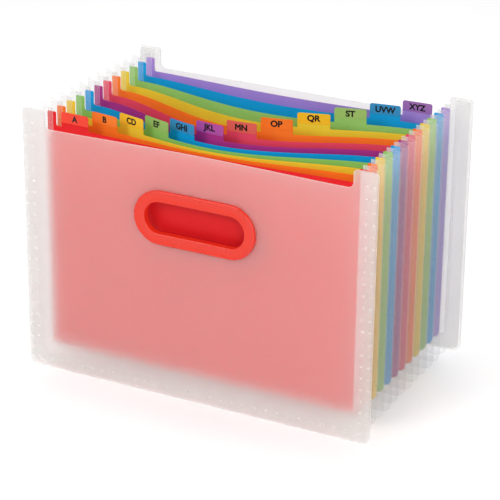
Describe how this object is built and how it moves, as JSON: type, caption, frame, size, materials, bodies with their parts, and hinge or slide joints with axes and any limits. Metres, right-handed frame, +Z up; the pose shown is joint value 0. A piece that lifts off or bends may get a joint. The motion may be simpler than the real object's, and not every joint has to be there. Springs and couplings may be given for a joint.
{
  "type": "expanding file",
  "caption": "Desktop expanding file with frosted covers, coloured index dividers with tabs, folded film gussets and an oval handle in the front cover.",
  "frame": {"origin": "middle of the object's outline on the surface that it stands on", "axes": "+X along the width, to the right seen from the front; +Y from the front cover to the back cover; +Z up"},
  "size_m": [0.33, 0.202, 0.24],
  "materials": {
    "frosted_cover": "frosted translucent polypropylene, fine diagonal emboss",
    "frosted_film": "frosted translucent polypropylene film, folded and spot welded",
    "handle_red": "moulded, satin gloss",
    "sheet_red": "translucent coloured polypropylene sheet, fine emboss",
    "label_red": "opaque coloured index label, satin",
    "sheet_orange": "translucent coloured polypropylene sheet, fine emboss",
    "label_orange": "opaque coloured index label, satin",
    "sheet_yellow": "translucent coloured polypropylene sheet, fine emboss",
    "label_yellow": "opaque coloured index label, satin",
    "sheet_green": "translucent coloured polypropylene sheet, fine emboss",
    "label_green": "opaque coloured index label, satin",
    "sheet_blue": "translucent coloured polypropylene sheet, fine emboss",
    "label_blue": "opaque coloured index label, satin",
    "sheet_magenta": "translucent coloured polypropylene sheet, fine emboss",
    "label_magenta": "opaque coloured index label, satin",
    "sheet_rose": "translucent coloured polypropylene sheet, fine emboss",
    "label_rose": "opaque coloured index label, satin",
    "sheet_orange_rear": "translucent coloured polypropylene sheet, fine emboss",
    "label_orange_rear": "opaque coloured index label, satin",
    "sheet_yellow_rear": "translucent coloured polypropylene sheet, fine emboss",
    "label_yellow_rear": "opaque coloured index label, satin",
    "sheet_green_rear": "translucent coloured polypropylene sheet, fine emboss",
    "label_green_rear": "opaque coloured index label, satin",
    "sheet_blue_rear": "translucent coloured polypropylene sheet, fine emboss",
    "label_blue_rear": "opaque coloured index label, satin",
    "sheet_violet": "translucent coloured polypropylene sheet, fine emboss",
    "label_violet": "opaque coloured index label, satin"
  },
  "bodies": {
    "root": {"front_cover": "frosted_cover", "back_cover": "frosted_cover", "handle_front_rim": "handle_red", "handle_rear_rim": "handle_red", "divider_01": "sheet_red", "tab_label_01": "label_red", "divider_02": "sheet_orange", "tab_label_02": "label_orange", "divider_03": "sheet_yellow", "tab_label_03": "label_yellow", "divider_04": "sheet_green", "tab_label_04": "label_green", "divider_05": "sheet_blue", "tab_label_05": "label_blue", "divider_06": "sheet_magenta", "tab_label_06": "label_magenta", "divider_07": "sheet_rose", "tab_label_07": "label_rose", "divider_08": "sheet_orange_rear", "tab_label_08": "label_orange_rear", "divider_09": "sheet_yellow_rear", "tab_label_09": "label_yellow_rear", "divider_10": "sheet_green_rear", "tab_label_10": "label_green_rear", "divider_11": "sheet_blue_rear", "tab_label_11": "label_blue_rear", "divider_12": "sheet_violet", "tab_label_12": "label_violet", "gusset_01": "frosted_film", "gusset_02": "frosted_film", "gusset_03": "frosted_film", "gusset_04": "frosted_film", "gusset_05": "frosted_film", "gusset_06": "frosted_film", "gusset_07": "frosted_film", "gusset_08": "frosted_film", "gusset_09": "frosted_film", "gusset_10": "frosted_film", "gusset_11": "frosted_film", "gusset_12": "frosted_film", "gusset_13": "frosted_film"}
  },
  "joints": []
}
